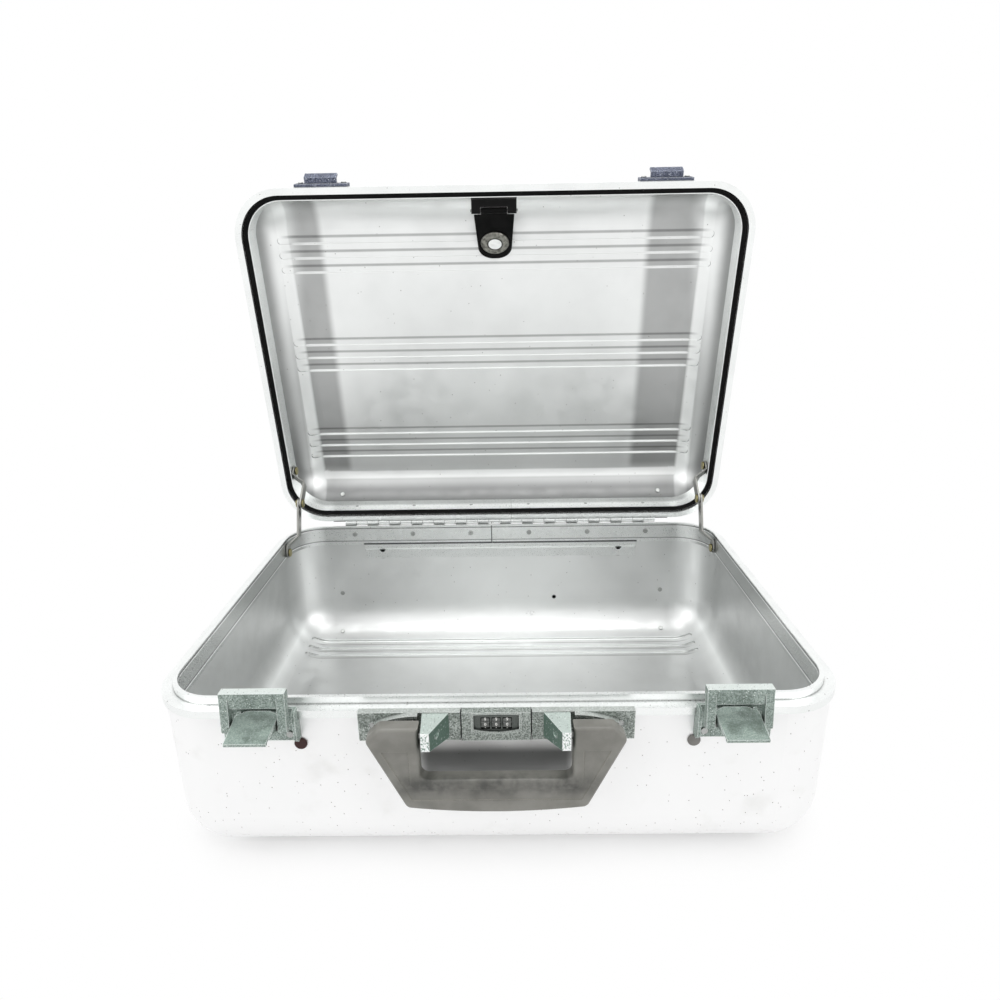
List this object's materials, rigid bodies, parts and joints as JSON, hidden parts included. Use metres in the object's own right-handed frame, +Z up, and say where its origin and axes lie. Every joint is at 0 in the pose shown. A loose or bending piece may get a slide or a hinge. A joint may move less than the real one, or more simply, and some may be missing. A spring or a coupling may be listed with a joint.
{
  "type": "briefcase",
  "caption": "Aluminium briefcase with rounded, bead-pressed shells, tongue frame, piano hinge, draw latches, combination lock, drop handle and folding lid stays, shown open.",
  "frame": {"origin": "middle of the base's underside, on the crest of the middle pressed bead", "axes": "+Z up out of the base, -Y towards the side with the handle and latches, +X to the right as seen by someone facing the handle"},
  "size_m": [0.457, 0.4095, 0.4693],
  "materials": {
    "shell": "drawn, brushed satin, scuffed",
    "frame": "extruded, satin",
    "rivet": "satin",
    "stay_rivet": "dull olive",
    "pin": "drawn steel",
    "stay": "satin",
    "seal": "matt black",
    "foot": "black, moulded",
    "latch": "rough casting, grey green",
    "strike": "casting, blue grey",
    "post": "casting, green tint",
    "plate": "worn dark grey green",
    "dial": "turned, worn",
    "handle": "moulded, grey brown",
    "plug_brown": "dark brown",
    "plug_grey": "grey",
    "tab": "black, smooth",
    "tab_bracket": "black",
    "snap": "worn"
  },
  "bodies": {
    "base": {"base_shell": "shell", "base_frame": "frame", "base_frame_rivets": "rivet", "hinge_base_leaf": "frame", "hinge_pin": "pin", "divider_rail": "frame", "rear_feet_base": "foot", "rear_feet_base_rivets": "rivet", "latch_bracket_left": "latch", "latch_bracket_right": "latch", "latch_rivets": "rivet", "latch_pins": "pin", "handle_plate_left": "plate", "handle_plate_right": "plate", "handle_post_left": "post", "handle_post_right": "post", "handle_pins": "pin", "handle_screws": "pin", "lock_plate": "plate", "lock_housing": "plate", "dial_shaft": "pin", "front_plug_left": "plug_brown", "front_plug_right": "plug_grey", "stay_anchors": "stay_rivet"},
    "lid": {"lid_shell": "shell", "lid_frame": "frame", "lid_frame_rivets": "rivet", "lid_seal": "seal", "hinge_lid_leaf": "frame", "strike_left": "strike", "strike_right": "strike", "strike_rivets": "rivet", "rear_feet_lid": "foot", "rear_feet_lid_rivets": "rivet", "tab_bracket": "tab_bracket", "tab_pin": "pin", "stay_lid_rivets": "stay_rivet"},
    "handle": {"handle": "handle"},
    "tab": {"tab_flap": "tab", "tab_snap": "snap"},
    "lever_left": {"latch_lever_left": "latch", "bail_pins_left": "pin"},
    "bail_left": {"latch_bail_left": "latch"},
    "stay_lower_left": {"stay_lower_left": "stay", "stay_knuckle_left": "stay_rivet"},
    "stay_upper_left": {"stay_upper_left": "stay", "stay_cap_left": "stay_rivet"},
    "lever_right": {"latch_lever_right": "latch", "bail_pins_right": "pin"},
    "bail_right": {"latch_bail_right": "latch"},
    "stay_lower_right": {"stay_lower_right": "stay", "stay_knuckle_right": "stay_rivet"},
    "stay_upper_right": {"stay_upper_right": "stay", "stay_cap_right": "stay_rivet"},
    "dial_1": {"dial_1": "dial"},
    "dial_2": {"dial_2": "dial"},
    "dial_3": {"dial_3": "dial"}
  },
  "joints": [
    {"name": "lid_hinge", "type": "hinge", "parent": "base", "child": "lid", "pos_m": [0, 0.16845, 0.1298], "axis": [1, 0, 0], "range_deg": [0, 80]},
    {"name": "handle_pivot", "type": "hinge", "parent": "base", "child": "handle", "pos_m": [0, -0.18245, 0.1196], "axis": [-1, 0, 0], "range_deg": [0, 90]},
    {"name": "tab_hinge", "type": "hinge", "parent": "lid", "child": "tab", "pos_m": [0, 0.12605, 0.43761], "axis": [-1, 0, 0], "range_deg": [0, 40]},
    {"name": "latch_lever_left", "type": "hinge", "parent": "base", "child": "lever_left", "pos_m": [-0.1485, -0.17105, 0.1245], "axis": [1, 0, 0], "range_deg": [0, 82]},
    {"name": "latch_bail_left", "type": "hinge", "parent": "lever_left", "child": "bail_left", "pos_m": [-0.1485, -0.17733, 0.1218], "axis": [1, 0, 0], "range_deg": [-61.5, 0]},
    {"name": "stay_lower_left", "type": "hinge", "parent": "base", "child": "stay_lower_left", "pos_m": [-0.2168, 0.118, 0.116], "axis": [1, 0, 0], "range_deg": [0, 93.1]},
    {"name": "stay_upper_left", "type": "hinge", "parent": "lid", "child": "stay_upper_left", "pos_m": [-0.2168, 0.16823, 0.18865], "axis": [1, 0, 0], "range_deg": [-106.9, 0]},
    {"name": "latch_lever_right", "type": "hinge", "parent": "base", "child": "lever_right", "pos_m": [0.1485, -0.17105, 0.1245], "axis": [1, 0, 0], "range_deg": [0, 82]},
    {"name": "latch_bail_right", "type": "hinge", "parent": "lever_right", "child": "bail_right", "pos_m": [0.1485, -0.17733, 0.1218], "axis": [1, 0, 0], "range_deg": [-61.5, 0]},
    {"name": "stay_lower_right", "type": "hinge", "parent": "base", "child": "stay_lower_right", "pos_m": [0.2168, 0.118, 0.116], "axis": [1, 0, 0], "range_deg": [0, 93.1]},
    {"name": "stay_upper_right", "type": "hinge", "parent": "lid", "child": "stay_upper_right", "pos_m": [0.2168, 0.16823, 0.18865], "axis": [1, 0, 0], "range_deg": [-106.9, 0]},
    {"name": "dial_1", "type": "hinge", "parent": "base", "child": "dial_1", "pos_m": [-0.0069, -0.16505, 0.118], "axis": [1, 0, 0], "continuous": true},
    {"name": "dial_2", "type": "hinge", "parent": "base", "child": "dial_2", "pos_m": [0, -0.16505, 0.118], "axis": [1, 0, 0], "continuous": true},
    {"name": "dial_3", "type": "hinge", "parent": "base", "child": "dial_3", "pos_m": [0.0069, -0.16505, 0.118], "axis": [1, 0, 0], "continuous": true}
  ],
  "couplings": [
    {"joint": "latch_bail_left", "follows": "latch_lever_left", "ratio": -0.75},
    {"joint": "stay_lower_left", "follows": "lid_hinge", "ratio": 1.1631},
    {"joint": "stay_upper_left", "follows": "lid_hinge", "ratio": -1.3358},
    {"joint": "latch_bail_right", "follows": "latch_lever_right", "ratio": -0.75},
    {"joint": "stay_lower_right", "follows": "lid_hinge", "ratio": 1.1631},
    {"joint": "stay_upper_right", "follows": "lid_hinge", "ratio": -1.3358}
  ]
}
